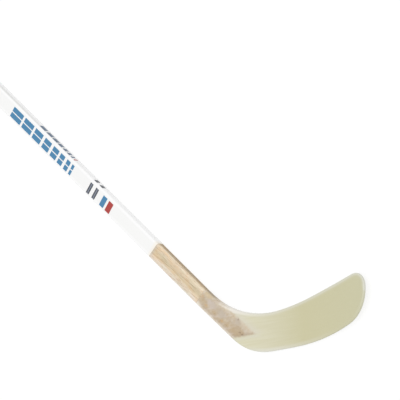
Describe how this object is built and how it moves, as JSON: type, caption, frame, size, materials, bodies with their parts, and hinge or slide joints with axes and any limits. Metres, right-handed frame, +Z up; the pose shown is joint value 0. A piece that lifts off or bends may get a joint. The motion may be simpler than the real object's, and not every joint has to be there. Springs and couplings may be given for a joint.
{
  "type": "wooden ice hockey stick",
  "caption": "Wooden ice hockey stick: laminated shaft with a white coat, a slotted heel joint and a curved blade in glass skins, lying with the hollow side of the blade up.",
  "frame": {"origin": "centre of the bounding box at the ground plane on which the stick lies", "axes": "+X down the shaft from the butt to the heel, +Y across the shaft towards the side that the blade sweeps to, +Z up; the shaft is rolled about X so that its edge and the back of the blade both touch the ground"},
  "size_m": [1.6396, 0.2464, 0.0207],
  "materials": {
    "aspen_core": "bare, glued",
    "birch_ply": "bare, glued",
    "ash_ply": "clear varnish over open grain",
    "shaft_laminate": "fibreglass in clear resin",
    "white_coat": "gloss white with a plain printed pattern",
    "blade_plastic": "moulded",
    "blade_laminate": "fibreglass in pale resin, satin"
  },
  "bodies": {
    "root": {"shaft_core": "aspen_core", "shaft_inner_ply_front": "birch_ply", "shaft_inner_ply_back": "birch_ply", "shaft_face_ply_front": "ash_ply", "shaft_face_ply_back": "ash_ply", "shaft_glass_front": "shaft_laminate", "shaft_glass_back": "shaft_laminate", "shaft_white_coat": "white_coat", "blade_core": "blade_plastic", "blade_glass_front": "blade_laminate", "blade_glass_back": "blade_laminate"}
  },
  "joints": []
}
